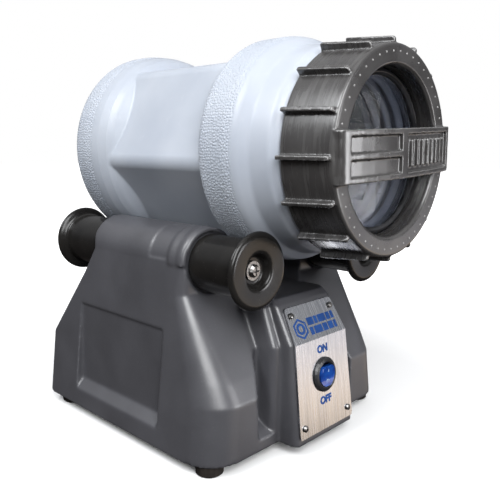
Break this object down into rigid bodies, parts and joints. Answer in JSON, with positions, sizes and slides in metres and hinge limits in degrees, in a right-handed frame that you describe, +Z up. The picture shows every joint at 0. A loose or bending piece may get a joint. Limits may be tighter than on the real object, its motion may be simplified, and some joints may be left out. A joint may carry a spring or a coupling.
{
  "type": "rotary rock tumbler",
  "caption": "Rotary tumbler: hexagonal drum with a screw-on window lid, resting on flanged rollers over a moulded motor base with a rocker switch.",
  "frame": {"origin": "centre of the bounding box in plan, on the surface the feet stand on", "axes": "+Z up; the lid and the switch face -Y; the drum and the rollers turn about lines along Y; +X is the drive side"},
  "size_m": [0.2, 0.2744, 0.2872],
  "materials": {
    "housing_plastic": "satin moulded, charcoal grey",
    "drum_plastic": "satin blow-moulded, pale blue-grey",
    "collar_plastic": "satin moulded, dark grey",
    "roller_plastic": "glossy black",
    "black_plastic": "black",
    "foot_rubber": "matt black",
    "liner_rubber": "matt dark grey",
    "plate_aluminium": "brushed",
    "steel": "bright",
    "bronze": "sintered",
    "lens_plastic": "clear polished",
    "rocker_plastic": "glossy translucent blue",
    "motor_paint": "black enamel",
    "pulley_plastic": "natural nylon"
  },
  "bodies": {
    "base": {"base_housing": "housing_plastic", "bottom_plate": "black_plastic", "face_plate": "plate_aluminium", "switch_bezel": "black_plastic", "cord_gland": "black_plastic", "foot_front_left": "foot_rubber", "foot_rear_left": "foot_rubber", "foot_front_right": "foot_rubber", "foot_rear_right": "foot_rubber", "foot_screw_front_left": "steel", "foot_screw_rear_left": "steel", "foot_screw_front_right": "steel", "foot_screw_rear_right": "steel", "plate_screw_1": "steel", "plate_screw_2": "steel", "plate_screw_3": "steel", "plate_screw_4": "steel", "idler_bush_rear": "bronze", "idler_bush_front": "bronze", "drive_bush_rear": "bronze", "drive_bush_front": "bronze", "motor_can": "motor_paint", "gearbox": "steel", "motor_bracket": "steel", "gearbox_screw_1": "steel", "gearbox_screw_2": "steel", "bracket_screw_1": "steel", "bracket_screw_2": "steel", "drive_belt": "foot_rubber"},
    "drum": {"drum_shell": "drum_plastic", "drum_liner": "liner_rubber"},
    "lid_window": {"lid_lens": "lens_plastic", "lid_gasket": "foot_rubber"},
    "lid_ring": {"lid_collar": "collar_plastic"},
    "drive_rollers": {"drive_shaft": "steel", "drive_roller_rear": "roller_plastic", "drive_roller_front": "roller_plastic", "drive_roller_screw_rear": "steel", "drive_roller_screw_front": "steel", "driven_pulley": "pulley_plastic"},
    "idler_rollers": {"idler_shaft": "steel", "idler_roller_rear": "roller_plastic", "idler_roller_front": "roller_plastic", "idler_roller_screw_rear": "steel", "idler_roller_screw_front": "steel"},
    "motor_output": {"output_spindle": "steel", "motor_pulley": "pulley_plastic"},
    "motor_rotor": {"rotor_shaft": "steel", "cooling_fan": "black_plastic"},
    "rocker": {"switch_rocker": "rocker_plastic"}
  },
  "joints": [
    {"name": "drum_spin", "type": "hinge", "parent": "base", "child": "drum", "pos_m": [0, 0.0348, 0.21], "axis": [0, 1, 0], "continuous": true},
    {"name": "drive_rollers_spin", "type": "hinge", "parent": "base", "child": "drive_rollers", "pos_m": [0.062, 0.0348, 0.135], "axis": [0, 1, 0], "continuous": true},
    {"name": "idler_rollers_spin", "type": "hinge", "parent": "base", "child": "idler_rollers", "pos_m": [-0.062, 0.0348, 0.135], "axis": [0, 1, 0], "continuous": true},
    {"name": "motor_output_spin", "type": "hinge", "parent": "base", "child": "motor_output", "pos_m": [0.044, 0.0348, 0.05], "axis": [0, 1, 0], "continuous": true},
    {"name": "motor_rotor_spin", "type": "hinge", "parent": "base", "child": "motor_rotor", "pos_m": [0.044, 0.0348, 0.05], "axis": [0, 1, 0], "continuous": true},
    {"name": "switch_rock", "type": "hinge", "parent": "base", "child": "rocker", "pos_m": [0, -0.07849, 0.05227], "axis": [1, 0, 0], "range_deg": [-18, 0]},
    {"name": "lid_travel", "type": "slide", "parent": "drum", "child": "lid_window", "axis": [0, -1, 0], "range_m": [0, 0.022]},
    {"name": "lid_turn", "type": "hinge", "parent": "lid_window", "child": "lid_ring", "pos_m": [0, 0.0348, 0.21], "axis": [0, -1, 0], "range_deg": [0, 1080]}
  ],
  "couplings": [
    {"joint": "drive_rollers_spin", "follows": "drum_spin", "ratio": -3.899},
    {"joint": "idler_rollers_spin", "follows": "drum_spin", "ratio": -3.899},
    {"joint": "motor_output_spin", "follows": "drum_spin", "ratio": -9.469},
    {"joint": "motor_rotor_spin", "follows": "drum_spin", "ratio": -37.876},
    {"joint": "lid_travel", "follows": "lid_turn", "m_per_rad": 0.0011141}
  ]
}
